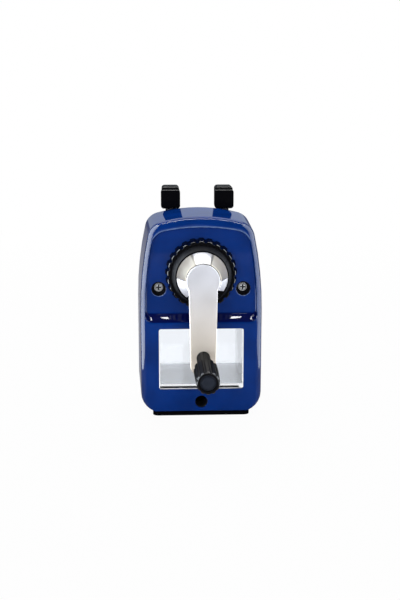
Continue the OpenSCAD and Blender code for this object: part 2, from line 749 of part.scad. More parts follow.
module cutter_carrier() {
    burr_room = burr_r + 0.7;
    pinion_room = pinion_pitch + gear_m + 0.45;
    color([0.66, 0.67, 0.68]) difference() {
        union() {
            bar(0, axis_z, drive_r, arm_back_y + 1, hub_back_y);
            bar(0, axis_z, journal_r, hub_back_y, shoulder_y);
            bar(0, axis_z, web_r - gap, shoulder_y - 0.01, cage_y);
            turned([[0, cage_y - 0.01], [13, cage_y - 0.01], [cage_r, cage_wide_y], [cage_r, cage_end_y],
                [tail_r, cage_end_y], [tail_r, tail_y], [0, tail_y]]);
        }
        translate([0, (arm_back_y + hub_back_y) / 2, axis_z - 10]) cylinder(r = 1.25, h = 20);
        on_cutter_axle() {
            translate([0, 0, axle_start - 0.1]) cylinder(r = cutter_axle_r + run / 2, h = 60);
            translate([0, 0, -pinion_half - 0.3]) cylinder(r = pinion_room, h = 2 * pinion_half + 0.6);
            translate([0, 0, 0]) cylinder(r = burr_room, h = burr_end + 0.6);
        }
        bar(0, axis_z, pencil_r, cage_end_y - ring_wall - 4, tail_y + cut);
        turned([[0, cage_y - 2], [1.5, cage_y - 2], [pencil_r + 0.2, cage_end_y - ring_wall],
            [0, cage_end_y - ring_wall]]);
        translate([-burr_room, cage_y + 1.5, axis_z - 20])
            cube([2 * burr_room, cage_end_y - ring_wall - cage_y - 2, 14]);
        for (side = [-1, 1]) translate([side * 12, 0, 0])
            slab_side(cage_y + 4, cage_end_y - ring_wall - 1, axis_z - 3.5, axis_z + 6.5);
    }
}

// A rounded window cut along X, between two planes of Y and two heights.
module slab_side(y0, y1, z0, z1) {
    r = 2;
    translate([-5.5, 0, 0]) {
        translate([0, y0 + r, z0]) cube([11, y1 - y0 - 2 * r, z1 - z0]);
        translate([0, y0, z0 + r]) cube([11, y1 - y0, z1 - z0 - 2 * r]);
        for (y = [y0 + r, y1 - r], z = [z0 + r, z1 - r])
            translate([0, y, z]) rotate([0, 90, 0]) cylinder(r = r, h = 11);
    }
}

module cutter_axle() {
    color([0.72, 0.72, 0.74]) on_cutter_axle()
        translate([0, 0, axle_start]) cylinder(r = cutter_axle_r, h = axle_end - axle_start);
}

module cutter_burr() {
    step = 360 / burr_flutes;
    flute = [for (k = [0 : burr_flutes - 1]) each [on_arc([0, 0], burr_r, k * step),
        on_arc([0, 0], burr_r, (k + 0.18) * step), on_arc([0, 0], burr_r - 0.9, (k + 0.3) * step),
        on_arc([0, 0], burr_r - 1, (k + 0.8) * step)]];
    color([0.45, 0.46, 0.48]) on_cutter_axle() difference() {
        union() {
            translate([0, 0, burr_start]) linear_extrude(burr_len, twist = -70, slices = 14) polygon(flute);
            translate([0, 0, pinion_half]) cylinder(r = 3.4, h = burr_start - pinion_half + 0.1);
        }
        cylinder(r = cutter_axle_r + run, h = 2 * burr_end);
    }
}

module cutter_pinion() {
    pitch = pinion_pitch;
    color([0.72, 0.62, 0.35]) on_cutter_axle() difference() {
        translate([0, 0, -pinion_half]) linear_extrude(2 * pinion_half) polygon(gear_points(
            pinion_teeth, gear_m, pitch + gear_tip * gear_m, pitch - 1.2 * gear_m, -backlash));
        translate([0, 0, -2 * pinion_half]) cylinder(r = cutter_axle_r + run, h = 4 * pinion_half);
    }
}

// ---------- Knob ----------

module crank_knob() {
    neck_end = knob_y - knob_neck_len;
    grip_y = neck_end - 3;
    bore = axle_r + run;
    well_r = axle_r + 1.25;
    color([0.04, 0.04, 0.045]) difference() {
        turned([[bore, knob_y], [knob_neck_r - 0.3, knob_y], [knob_neck_r, knob_y - 0.6],
            [knob_neck_r + 0.15, neck_end], [knob_r + knob_swell - 0.25, grip_y + 0.6],
            [knob_r + knob_swell, grip_y - 0.4], [knob_r + knob_swell, grip_y - 6],
            [knob_r, knob_end_y + 0.8], [knob_r - 0.7, knob_end_y], [4.1, knob_end_y], [4.1, knob_end_y + 2.6],
            [well_r, knob_end_y + 2.6], [well_r, knob_end_y + 4.6], [bore, knob_end_y + 4.6]], knob_z);
        for (k = [0 : knob_grooves - 1]) let (a = 360 * (k + 0.5) / knob_grooves)
            bar((knob_r + 0.15) * sin(a), knob_z + (knob_r + 0.15) * cos(a), 0.8,
                knob_end_y - cut, neck_end);
        for (k = [0 : 7]) let (a = 45 * k)
            bar((knob_neck_r + 0.25) * sin(a), knob_z + (knob_neck_r + 0.25) * cos(a), 0.65,
                neck_end + 1, knob_y - 1.6);
    }
}

module knob_cap() {
    color([0.10, 0.11, 0.13]) turned([[0, knob_end_y + 0.3], [2.6, knob_end_y + 0.6],
        [3.2, knob_end_y + 1], [3.2, knob_end_y + 1.6], [4.05, knob_end_y + 1.6],
        [4.05, knob_end_y + 2.6], [0, knob_end_y + 2.6]], knob_z);
}

// ---------- Pencil clamp ----------

function clip_outline(inset) =
    let (w = clip_w / 2 - inset, z = clip_z + inset, r = clip_round - inset)
    both(concat(arc([w - r, z + r], r, -90, 0, 4),
        arch(w, clip_top - inset, crown_r - inset, corner_r - inset, lean_r, clip_z + clip_waist)));

module clip_plate() {
    slot_w = stem_w + sin(squeeze_angle) * (clip_top - pivot_z) + 2.8;
    color([0.82, 0.82, 0.84]) difference() {
        slab(clip_back_y, clip_face_y) polygon(clip_outline(0));
        slab(clip_back_y - cut, clip_front_y) polygon(clip_outline(clip_t));
        bar(0, axis_z, mouth_r + bezel_wall + run, clip_front_y - cut, clip_face_y + cut);
        both_sides() {
            translate([cap_x + stem_w / 2 + 1.6 - slot_w, clip_back_y - cut, clip_top - 8])
                cube([slot_w, clip_front_y - clip_back_y + cut, 10]);
            bar(pivot_x, pivot_z, pin_r, clip_front_y - cut, clip_face_y + cut);
        }
    }
}

module pencil_bezel() {
    rear = right_y + lever_t + gap;
    rim_y = clip_face_y + bezel_len;
    mouth_wall = mouth_r + bezel_wall;
    color([0.05, 0.05, 0.055]) turned([[mouth_r, rear], [mouth_r, rim_y - bezel_funnel],
        [mouth_r + bezel_funnel + 0.2, rim_y], [mouth_r + bezel_funnel + 1.2, rim_y],
        [mouth_r + bezel_spread, clip_face_y + bezel_edge], [mouth_r + bezel_spread, clip_face_y],
        [mouth_wall, clip_face_y], [mouth_wall, rear]]);
}

module guide_rods() {
    groove_y = rod_end_y + 1;
    color([0.75, 0.75, 0.77]) both_sides() difference() {
        bar(rod_x, rod_z, rod_r, rod_end_y, clip_front_y);
        difference() {
            bar(rod_x, rod_z, rod_r + cut, groove_y, groove_y + clip_ring_t);
            bar(rod_x, rod_z, rod_r - 0.6, groove_y, groove_y + clip_ring_t);
        }
    }
}

module rod_clips() {
    groove_y = rod_end_y + 1;
    color([0.35, 0.35, 0.37]) both_sides() difference() {
        bar(rod_x, rod_z, rod_r + 1.6, groove_y + run, groove_y + clip_ring_t - run);
        bar(rod_x, rod_z, rod_r - 0.55, groove_y - cut, groove_y + 2 * cut);
        translate([rod_x - rod_r + 0.6, groove_y - cut, rod_z]) cube([2 * rod_r - 1.2, 3 * cut, 5]);
    }
}

module lever_pins() {
    color([0.78, 0.78, 0.80]) both_sides() {
        bar(pivot_x, pivot_z, pin_r - 0.01, bridge_y, clip_face_y + 0.5);
        intersection() {
            bar(pivot_x, pivot_z, pin_r + 1.4, clip_face_y, clip_face_y + 2);
            translate([pivot_x, clip_face_y - 4.4, pivot_z]) sphere(r = 5.5);
        }
        bar(pivot_x, pivot_z, pin_r + 1, bridge_y - 0.5, bridge_y);
    }
}

module lever_bridge() {
    foot_w = 2 * pivot_x + 9;
    color([0.70, 0.71, 0.72]) difference() {
        union() {
            translate([0, 0, pivot_z - 4]) slab(bridge_y, bridge_y + bridge_t)
                polygon(rounded(foot_w, 10, 3));
            bar(0, axis_z, mouth_r + 5, bridge_y, bridge_y + bridge_t);
            translate([-6, bridge_y, pivot_z]) cube([12, bridge_t, axis_z - pivot_z]);
        }
        bar(0, axis_z, mouth_r + 1, bridge_y - cut, bridge_y + bridge_t + cut);
        both_sides() bar(pivot_x, pivot_z, pin_r, bridge_y - cut, bridge_y + bridge_t + cut);
    }
}

// Wire rings stand for each turn of the spring that spreads the levers.
module lever_spring() {
    wire = 0.3;
    turns = 12;
    reach = cap_x - stem_w / 2 - wire;
    color([0.62, 0.63, 0.65]) for (i = [0 : turns - 1])
        translate([mix(-reach, reach, i / (turns - 1)), (left_y + right_y + lever_t) / 2, spring_z])
            rotate([0, 90, 0]) rotate_extrude() translate([1.7, 0]) circle(r = wire, $fn = 16);
}

// The left lever; its jaw closes on the pencil from the far side of the opening.
module lever(y) {
    stem_x = -cap_x;
    pass = 6.4;
    teeth = 5;
    pitch = 2 * (pass - 1) / teeth;
    jaw = [for (i = [0 : teeth - 1]) each let (z = axis_z - pass + 1 + i * pitch)
        [[jaw_gap, z], [jaw_gap + 0.6, z + pitch / 2]]];
    difference() {
        union() {
            translate([stem_x - stem_w / 2, y, axis_z + 6])
                cube([stem_w, lever_t, cap_z + cap_h - 2.4 - axis_z - 6]);
            slab(y, y + lever_t) polygon([[stem_x - stem_w / 2, axis_z - 7], [-pivot_x - 4.5, pivot_z + 3],
                [-pivot_x - 4, pivot_z], [-pivot_x + 4, pivot_z], [-pivot_x + 5, pivot_z + 4],
                [jaw_gap + 5, axis_z - 9], [jaw_gap + 6.5, axis_z - 7], [jaw_gap + 6.5, axis_z + 8],
                [jaw_gap + 4, axis_z + 10.5], [stem_x + stem_w / 2, axis_z + 10.5],
                [stem_x - stem_w / 2, axis_z + 10.5]]);
            bar(-pivot_x, pivot_z, 4.2, y, y + lever_t);
        }
        slab(y - cut, y + lever_t + cut) polygon(concat([[-mouth_r - 2.4, axis_z - pass + 1.5],
            [-mouth_r - 0.9, axis_z - pass]], [[jaw_gap, axis_z - pass]], jaw,
            [[jaw_gap, axis_z + pass], [-mouth_r - 0.9, axis_z + pass],
            [-mouth_r - 2.4, axis_z + pass - 1.5]]));
        bar(-pivot_x, pivot_z, pin_r + run, y - cut, y + lever_t + cut);
    }
}

// A thumb cap, with a pocket for the stem of the lever at y.
module cap_block(w, h, y0, y1) {
    intersection() {
        translate([-cap_x, 0, cap_z]) slab(y0, y1) polygon(rounded(w, h, cap_round));
        translate([-cap_x - cap_w, (y0 + y1) / 2, cap_z]) rotate([90, 0, 90])
            linear_extrude(2 * cap_w) polygon(rounded(y1 - y0, h, cap_round));
    }
}

module thumb_cap(y) {
    difference() {
        union() {
            cap_block(cap_w, cap_h, cap_y, cap_y + 4.6);
            cap_block(cap_w - 1, cap_h + cap_rise, cap_y + 1.4, cap_y + cap_d);
        }
        translate([-cap_x - stem_w / 2 - run, y - run, cap_z - cut])
            cube([stem_w + 2 * run, lever_t + 2 * run, cap_h - 2.4 + cut + run]);
    }
}

module left_lever() {
    color([0.16, 0.17, 0.18]) lever(left_y);
}

module left_cap() {
    color([0.03, 0.03, 0.035]) thumb_cap(left_y);
}

module right_lever() {
    color([0.16, 0.17, 0.18]) mirror([1, 0, 0]) lever(right_y);
}

module right_cap() {
    color([0.03, 0.03, 0.035]) mirror([1, 0, 0]) thumb_cap(right_y);
}

// ---------- Drawer ----------

module shavings_drawer() {
    inner_w = drawer_w - 2 * drawer_wall;
    lip_z = drawer_z + drawer_h - 5;
    color([0.85, 0.90, 0.95, 0.4]) difference() {
        union() {
            translate([0, 0, drawer_z]) slab(drawer_y, drawer_front_y + 0.01)
                polygon(rounded(drawer_w, drawer_h, 1));
            translate([0, 0, drawer_z - 1.4]) slab(drawer_front_y, drawer_front_y + drawer_front_t)
                polygon(rounded(drawer_w + 4, drawer_h + 3, 2.5));
            translate([0, 0, lip_z]) slab(drawer_front_y + drawer_front_t - 0.01, drawer_front_y + 9)
                polygon(rounded(28, 2.4, 1.1));
            translate([0, 0, lip_z - 2]) slab(drawer_front_y + 7.4, drawer_front_y + 9)
                polygon(rounded(28, 3.5, 1.1));
        }
        translate([-inner_w / 2, drawer_y + drawer_wall, drawer_z + floor_t])
            cube([inner_w, drawer_front_y - drawer_y - drawer_wall, drawer_h + 2]);
    }
}

body_shell();
base_plate();
foot_pad();
base_screws();
drawer_shelf();
socket_frame();
frame_screws();
tie_posts();
end_plate();
end_screws();
tail_bush();
rod_bushes();
return_springs();
cutter_collar();
ring_gear();
collar_bush();
crank_hub();
crank_arm();
hub_pin();
knob_axle();
cutter_carrier();
cutter_axle();
cutter_burr();
cutter_pinion();
crank_knob();
knob_cap();
clip_plate();
pencil_bezel();
guide_rods();
rod_clips();
lever_pins();
lever_bridge();
lever_spring();
left_lever();
left_cap();
right_lever();
right_cap();
shavings_drawer();
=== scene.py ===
"""Dresses the crank pencil sharpener: every piece, its finish, the stage and the camera."""

import json
import math

import bmesh
import bpy
from mathutils import Matrix, Vector

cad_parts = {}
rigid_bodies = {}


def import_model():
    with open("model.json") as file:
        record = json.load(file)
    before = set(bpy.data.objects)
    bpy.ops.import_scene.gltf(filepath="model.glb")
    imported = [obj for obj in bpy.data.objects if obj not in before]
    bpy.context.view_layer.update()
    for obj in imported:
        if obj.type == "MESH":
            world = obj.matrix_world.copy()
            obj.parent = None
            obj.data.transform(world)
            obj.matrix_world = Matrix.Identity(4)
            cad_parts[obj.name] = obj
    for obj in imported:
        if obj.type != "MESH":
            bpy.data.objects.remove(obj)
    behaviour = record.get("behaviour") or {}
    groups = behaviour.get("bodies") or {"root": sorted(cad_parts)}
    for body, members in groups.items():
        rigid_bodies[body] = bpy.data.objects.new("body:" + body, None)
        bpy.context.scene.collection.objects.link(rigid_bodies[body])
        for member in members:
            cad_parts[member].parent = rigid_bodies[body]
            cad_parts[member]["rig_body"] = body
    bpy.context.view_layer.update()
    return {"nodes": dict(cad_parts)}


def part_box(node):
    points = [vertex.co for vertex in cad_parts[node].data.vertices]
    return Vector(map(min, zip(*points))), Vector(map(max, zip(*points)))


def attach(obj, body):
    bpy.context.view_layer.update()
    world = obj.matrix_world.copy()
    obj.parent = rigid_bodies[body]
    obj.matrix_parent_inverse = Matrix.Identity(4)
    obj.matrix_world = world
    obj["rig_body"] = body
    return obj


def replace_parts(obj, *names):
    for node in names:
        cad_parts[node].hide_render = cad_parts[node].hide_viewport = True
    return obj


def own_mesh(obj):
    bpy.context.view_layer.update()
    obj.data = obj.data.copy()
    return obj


bl_info = {
    "name": "Crank pencil sharpener",
    "version": (1, 0, 0),
    "blender": (4, 5, 0),
    "location": "View3D > Sidebar > Sharpener",
    "description": "Builds a crank pencil sharpener's pieces and finishes on its packed frame",
    "category": "Object",
}

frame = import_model()
NODES = frame["nodes"]

MM = 0.001
X, Y, Z = Vector((1, 0, 0)), Vector((0, 1, 0)), Vector((0, 0, 1))
WHITE = (1.0, 1.0, 1.0)

# Degrees between two faces past which their edge is broken, and past which shading shows it
BREAK_ANGLE = 34.0
CREASE_ANGLE = 38.0


# Shader maths: a socket that Python's operators work on


class Value:
    """A shader socket. Each arithmetic operator adds one Math node."""

    def __init__(self, nodes, socket):
        self.nodes, self.socket = nodes, socket

    def math(self, operation, *others):
        return self.nodes.node(
            "ShaderNodeMath", {"operation": operation}, dict(enumerate((self, *others)))
        )

    def __add__(self, other):
        return self.math("ADD", other)

    __radd__ = __add__

    def __mul__(self, other):
        return self.math("MULTIPLY", other)

    __rmul__ = __mul__

    def __sub__(self, other):
        return self.math("SUBTRACT", other)

    def __rsub__(self, other):
        return (self * -1.0) + other


class Nodes:
    """A node tree that starts empty, with one method that adds any node to it."""

    def __init__(self, tree):
        self.tree = tree
        self.tree.nodes.clear()

    def node(self, kind, settings=None, inputs=None, output=0):
        """Adds a node with its settings and its sockets' values or links; gives one output."""
        made = self.tree.nodes.new(kind)
        for key, value in (settings or {}).items():
            setattr(made, key, value)
        for key, value in (inputs or {}).items():
            if isinstance(value, Value):
                self.tree.links.new(value.socket, made.inputs[key])
            else:
                made.inputs[key].default_value = value
        return Value(self, made.outputs[output])

    def between(self, value, low, high, to_low=0.0, to_high=1.0):
        """Maps low..high to to_low..to_high with soft ends, and clamps."""
        return self.node(
            "ShaderNodeMapRange",
            {"interpolation_type": "SMOOTHSTEP"},
            {0: value, 1: low, 2: high, 3: to_low, 4: to_high},
        )

    def tint(self, factor, first, second):
        """A colour between two others, each a plain colour or a socket."""
        ends = [end if isinstance(end, Value) else (*end, 1.0) for end in (first, second)]
        return self.node(
            "ShaderNodeMix",
            {"data_type": "RGBA"},
            {0: factor, 6: ends[0], 7: ends[1]},
            output=2,
        )

    def along(self, axis, place):
        """One coordinate of a place."""
        return self.node("ShaderNodeSeparateXYZ", None, {"Vector": place}, axis)


class Look(Nodes):
    """A material built round one Principled shader that reads Object coordinates."""

    def __init__(self, name, **constants):
        self.material = bpy.data.materials.new(name)
        self.material.use_nodes = True
        super().__init__(self.material.node_tree)
        self.shader = self.tree.nodes.new("ShaderNodeBsdfPrincipled")
        self.output = self.tree.nodes.new("ShaderNodeOutputMaterial")
        self.tree.links.new(self.shader.outputs[0], self.output.inputs["Surface"])
        for socket, value in constants.items():
            self.shader.inputs[socket.replace("_", " ")].default_value = value
        self.place = self.node("ShaderNodeTexCoord", output="Object")

    def feed(self, name, value):
        """Links a value to one of the shader's own sockets."""
        self.tree.links.new(value.socket, self.shader.inputs[name])

    def stretched(self, stretch):
        """Object coordinates scaled along each axis."""
        return self.node("ShaderNodeMapping", None, {"Vector": self.place, "Scale": stretch})

    def noise(self, scale, detail=3.0, rough=0.5, where=None):
        """Noise from 0 to 1; scale is in cycles per metre."""
        return self.node(
            "ShaderNodeTexNoise",
            None,
            {"Vector": where or self.place, "Scale": scale, "Detail": detail, "Roughness": rough},
        )

    def lines(self, stretch):
        """Noise drawn out into lines; stretch is in cycles per metre along each axis."""
        return self.noise(1.0, where=self.stretched(stretch))

    def cells(self, scale):
        """Distance to the middles of a cell pattern; scale is in cells per metre."""
        return self.node("ShaderNodeTexVoronoi", None, {"Vector": self.place, "Scale": scale})

    def painted(self, name):
        """The piece's own value of that name at each vertex."""
        return self.node(
            "ShaderNodeAttribute",
            {"attribute_type": "GEOMETRY", "attribute_name": name},
            output="Fac",
        )

    def gloss(self, front, side, edge, turn=0.3):
        """Coat weight seen straight on, at a slant and at a glancing angle."""
        facing = self.node("ShaderNodeLayerWeight", None, {"Blend": 0.5}, "Facing")
        rise = self.between(facing, 0.02, turn, front, side)
        self.feed("Coat Weight", rise * self.between(facing, 0.62, 0.84, 1.0, edge / side))

    def relief(self, height, depth, strength=1.0):
        """Feeds a height from 0 to 1, as deep as depth in metres, to the shader's normal."""
        bump = self.node(
            "ShaderNodeBump", None, {"Height": height, "Distance": depth, "Strength": strength}
        )
        self.feed("Normal", bump)


def shade(colour, factor):
    """A colour made lighter or darker."""
    return tuple(min(1.0, c * factor) for c in colour)


# Places that several pieces share, read from the frame in metres


def shaft_height():
    """Height of the crank's axis."""
    low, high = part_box("cutter_collar")
    return (low.z + high.z) / 2


def frame_screw_place():
    """How far the two frame screws are from the middle, and their height."""
    low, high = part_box("frame_screws")
    return high.x - (high.z - low.z) / 2, (low.z + high.z) / 2


# Finishes


def enamel(name, colour, pale):
    """Stoved enamel on drawn sheet: a deep gloss, faint orange peel, dust nibs, a painted
    highlight and painted shade.
    """
    look = Look(name, Coat_Roughness=0.035, Coat_IOR=1.5, Specular_IOR_Level=0.0)
    look.gloss(front=0.2, side=0.58, edge=0.42, turn=0.12)
    flow = look.noise(70, 2)
    nibs = look.between(look.cells(420), 0.06, 0.0)
    body = look.tint(look.between(flow, 0.3, 0.7), shade(colour, 0.86), shade(colour, 1.12))
    # Painted shade: a darker colour on the ledge under the panel, as strong as the shell's vertex
    # value says
    deep = (colour[0] * 0.4, colour[1] * 0.12, colour[2] * 0.36)
    body = look.tint(look.painted("pooled_paint"), body, deep)
    # Painted highlight: the pale colour on the rims and cup edges, as strong as the shell's
    # vertex value says, varied by noise
    worn = look.between(look.noise(500, 2), 0.2, 0.8, 0.6, 0.95)
    look.feed("Base Color", look.tint(look.painted("thin_paint") * worn, body, pale))
    look.feed("Roughness", look.between(look.noise(900, 2), 0.35, 0.65, 0.3, 0.42))
    look.relief(look.noise(330, 2) * 0.85 + nibs * 0.15, 0.06 * MM, 0.16)
    return look.material


def moulded(name, colour, gloss, grain, depth, shine=(0.05, 0.5, 0.1), lighter=1.0):
    """Injection-moulded plastic: flow marks in the colour, a fine grain in the skin."""
    look = Look(name, Specular_IOR_Level=0.0, Coat_Roughness=gloss, Coat_IOR=1.5)
    look.gloss(*shine)
    colour = shade(colour, lighter)
    flow = look.noise(160, 2, where=look.stretched((1, 0.35, 1)))
    skin = look.noise(grain)
    look.feed("Base Color", look.tint(flow, shade(colour, 0.75), shade(colour, 1.3)))
    even = flow * 0.5 + skin * 0.5
    look.feed("Roughness", look.between(even, 0.3, 0.7, gloss + 0.15, gloss + 0.25))
    look.relief(skin, depth, 0.5)
    return look.material


def plated(name, colour, low, high, brushing, depth, metallic=1.0, lower=None):
    """Bright plate over brushed sheet: fine lines in the gloss and a faint cloudiness.

    The roughness lies between low and high. A second colour, lower, takes over near the ground: a
    painted reflection, lighter and warmer.
    """
    look = Look(name, Metallic=metallic)
    lines = look.lines(brushing)
    cloud = look.noise(110)
    body = look.tint(cloud, shade(colour, 0.93), shade(colour, 1.04))
    # Painted reflection: the lighter, warmer lower colour near the ground
    if lower:
        worn = look.tint(cloud, shade(lower, 0.93), shade(lower, 1.04))
        upper = look.between(look.along("Z", look.place), 36 * MM, 88 * MM)
        body = look.tint(upper, worn, body)
    look.feed("Base Color", body)
    look.feed("Roughness", look.between(lines * 0.6 + cloud * 0.4, 0.3, 0.7, low, high))
    look.relief(lines, depth, 0.5)
    return look.material


def spun(name, colour, fold):
    """Satin nickel on a spun cone: turning lines, and a painted reflection: white over the top,
    the colour at the sides, and painted dark lines between, at the given angle in radians from
    the top.
    """
    look = Look(name, Metallic=0.45)
    lines = look.lines((0, 3600, 0))
    cloud = look.noise(140)
    # The painted reflection: white over the top, the colour at the sides, dark lines where they
    # meet
    rise = look.along("Z", look.place) - shaft_height()
    turn = look.along("X", look.place).math("ARCTAN2", rise).math("ABSOLUTE")
    crease = look.between((turn - fold).math("ABSOLUTE"), 0.015, 0.085, 1.0, 0.0)
    side = look.between(turn, fold - 0.03, fold + 0.03)
    body = look.tint(cloud * 0.2 + side * 0.8, WHITE, colour)
    look.feed("Base Color", look.tint(crease * 0.85, body, shade(colour, 0.3)))
    look.feed("Roughness", look.between(lines * 0.6 + cloud * 0.4, 0.3, 0.7, 0.1, 0.15))
    look.relief(lines, 0.02 * MM, 0.5)
    return look.material


def zinc(name, colour):
    """Passivated zinc plate: pale spangle with a trace of yellow and blue."""
    look = Look(name, Metallic=1.0)
    spangle = look.cells(1500)
    hue = look.between(look.noise(240, 2), 0.35, 0.65)
    warm = (colour[0] * 1.05, colour[1], colour[2] * 0.88)
    cool = (colour[0] * 0.93, colour[1], colour[2] * 1.08)
    look.feed("Base Color", look.tint(hue, warm, cool))
    look.feed("Roughness", look.between(spangle, 0.1, 0.8, 0.28, 0.36))
    look.relief(spangle, 0.004 * MM, 0.15)
    return look.material


def steel(name, colour, roughness, grain=2200, metallic=1.0):
    """Worked steel: lines from the tool, darker where oil has stayed."""
    look = Look(name, Metallic=metallic)
    lines = look.lines((grain, grain * 0.12, grain))
    oil = look.noise(190)
    wet = look.between(oil, 0.35, 0.7)
    look.feed("Base Color", look.tint(wet, shade(colour, 0.78), shade(colour, 1.12)))
    mixed = oil * 0.5 + lines * 0.5
    look.feed("Roughness", look.between(mixed, 0.3, 0.7, roughness, roughness + 0.16))
    look.relief(lines, 0.012 * MM, 0.5)
    return look.material


def cast(name, colour):
    """Die-cast metal: a grainy skin with shallow flow marks."""
    look = Look(name, Metallic=1.0)
    grain = look.noise(2600, 4, 0.65)
    flow = look.noise(260, where=look.stretched((1, 0.3, 1)))
    skin = grain * 0.6 + flow * 0.4
    look.feed("Base Color", look.tint(flow, shade(colour, 0.82), shade(colour, 1.12)))
    look.feed("Roughness", look.between(skin, 0.3, 0.7, 0.38, 0.56))
    look.relief(skin, 0.03 * MM, 0.5)
    return look.material


def sintered(name, colour):
    """Sintered bronze: bright metal with dark oil-filled pores."""
    look = Look(name, Metallic=1.0)
    pores = look.between(look.cells(3800), 0.22, 0.34)
    look.feed("Base Color", look.tint(pores, shade(colour, 0.35), colour))
    look.feed("Roughness", look.between(pores, 0.0, 1.0, 0.55, 0.3))
    look.relief(pores, 0.02 * MM, 0.5)
    return look.material


def nylon_skin(name, colour):
    """Natural nylon: milky, with a soft waxy gloss."""
    look = Look(name, Subsurface_Weight=0.25, Subsurface_Scale=1.5 * MM)
    flow = look.noise(300)
    look.feed("Base Color", look.tint(flow, shade(colour, 0.9), colour))
    look.feed("Roughness", look.between(flow, 0.3, 0.7, 0.36, 0.5))
    look.relief(look.noise(2400, 2), 0.01 * MM, 0.4)
    return look.material


def rubber(name, colour):
    """Soft rubber: dull and grainy, greyer where the bloom has come out."""
    look = Look(name, Specular_IOR_Level=0.0)
    bloom = look.between(look.noise(210, 4, 0.6), 0.4, 0.75)
    grain = look.noise(2800, 3, 0.6)
    look.feed("Base Color", look.tint(bloom, colour, shade(colour, 1.8)))
    look.feed("Roughness", look.between(grain, 0.3, 0.7, 0.68, 0.86))
    look.relief(grain, 0.04 * MM, 0.6)
    return look.material


def clear(name, colour):
    """Clear styrene: faint flow lines and fine rubbing marks from the drawer's travel."""
    look = Look(name, Transmission_Weight=1.0, IOR=1.49, Specular_IOR_Level=0.5)
    flow = look.noise(90, 2, where=look.stretched((1, 1, 0.4)))
    rubs = look.lines((2600, 70, 2600))
    look.feed("Base Color", look.tint(flow, shade(colour, 0.98), colour))
    look.feed("Roughness", look.between(rubs, 0.45, 0.75, 0.015, 0.07))
    look.relief(flow * 0.8 + rubs * 0.2, 0.02 * MM, 0.12)
    return look.material


# For each finish: what makes it, its colour or the name of the user's colour, and its settings
FINISHES = {
    # For the enamels, pale is the colour of their painted highlight
    "blue_paint": (enamel, "enamel", {"pale": (0.2, 0.3, 0.55)}),
    "grey_steel": (enamel, (0.93, 0.93, 0.93), {"pale": (0.95, 0.95, 0.95)}),
    "black_plastic": (
        moulded,
        "plastic",
        {"gloss": 0.16, "grain": 1500, "depth": 0.004 * MM, "shine": (0.04, 0.8, 0.3)},
    ),
    "matt_plastic": (
        moulded,
        "plastic",
        {"gloss": 0.42, "grain": 1500, "depth": 0.002 * MM, "shine": (0.03, 0.25, 0.02)},
    ),
    "black_matte": (
        moulded,
        "plastic",
        {"gloss": 0.45, "grain": 2400, "depth": 0.02 * MM, "lighter": 3.0},
    ),
    "cap_plastic": (
        moulded,
        (0.018, 0.022, 0.032),
        {"gloss": 0.14, "grain": 1200, "depth": 0.004 * MM},
    ),
    "glossy_plastic": (
        moulded,
        "plastic",
        {"gloss": 0.08, "grain": 900, "depth": 0.002 * MM, "shine": (0.05, 0.6, 0.08)},
    ),
    "grip_plastic": (
        moulded,
        "plastic",
        {"gloss": 0.3, "grain": 1500, "depth": 0.006 * MM, "shine": (0.1, 0.5, 0.12)},
    ),
    "clear_plastic": (clear, "window", {}),
    "rubber_black": (rubber, (0.002, 0.002, 0.003), {}),
    "nickel": (
        plated,
        "nickel",
        {
            "low": 0.4,
            "high": 0.48,
            "brushing": (1900, 1900, 60),
            "depth": 0.003 * MM,
            "metallic": 0.9,
            # lower: a painted reflection, lighter and warmer, near the ground
            "lower": (0.65, 0.57, 0.485),
        },
    ),
    # The hub's colour, and the angle in radians where its painted reflection turns from white to
    # that colour
    "bright_nickel": (spun, (0.94, 0.88, 0.74), {"fold": 0.43}),
    "chrome": (
        plated,
        (0.8, 0.8, 0.82),
        {"low": 0.06, "high": 0.14, "brushing": (900, 160, 900), "depth": 0.002 * MM},
    ),
    # A lighter copy of zinc: painted light for the frame screws' heads in their shaded cups
    "bright_zinc": (
        plated,
        (0.84, 0.86, 0.88),
        {
            "low": 0.2,
            "high": 0.3,
            "brushing": (800, 800, 800),
            "depth": 0.002 * MM,
            "metallic": 0.55,
        },
    ),
    "zinc_steel": (zinc, (0.72, 0.72, 0.71), {}),
    "dark_steel": (steel, (0.05, 0.05, 0.055), {"roughness": 0.36, "metallic": 0.75}),
    "spring_steel": (steel, (0.58, 0.58, 0.6), {"roughness": 0.22, "grain": 3000}),
    "tool_steel": (steel, (0.36, 0.37, 0.39), {"roughness": 0.26, "grain": 1800}),
    "cast_zinc": (cast, (0.56, 0.57, 0.59), {}),
    "bronze": (sintered, (0.62, 0.42, 0.2), {}),
    "nylon": (nylon_skin, (0.84, 0.83, 0.77), {}),
}
LOOKS = {}


def finish_for(slot):
    """The finish of one material slot, made once."""
    if slot not in LOOKS:
        maker, colour, settings = FINISHES[slot]
        if isinstance(colour, str):
            colour = tuple(getattr(bpy.context.scene.sharpener_paint, colour))
        LOOKS[slot] = maker(slot, colour, **settings)
    return LOOKS[slot]


# Pieces


def body_of(node):
    """The CAD body that a node belongs to."""
    return NODES[node]["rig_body"]


def show(name, b, slot, body, finish=None):
    """Links a finished mesh as a piece, smooth but for its sharp edges, on its body."""
    mesh = bpy.data.meshes.new(name)
    b.to_mesh(mesh)
    b.free()
    mesh.polygons.foreach_set("use_smooth", [True] * len(mesh.polygons))
    mesh.set_sharp_from_angle(angle=math.radians(CREASE_ANGLE))
    item = bpy.data.objects.new(name, mesh)
    bpy.context.scene.collection.objects.link(item)
    item.data.materials.append(finish_for(finish or slot))
    weighted = item.modifiers.new("Weighted Normal", "WEIGHTED_NORMAL")
    weighted.mode, weighted.keep_sharp = "FACE_AREA", True
    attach(item, body)
    return item


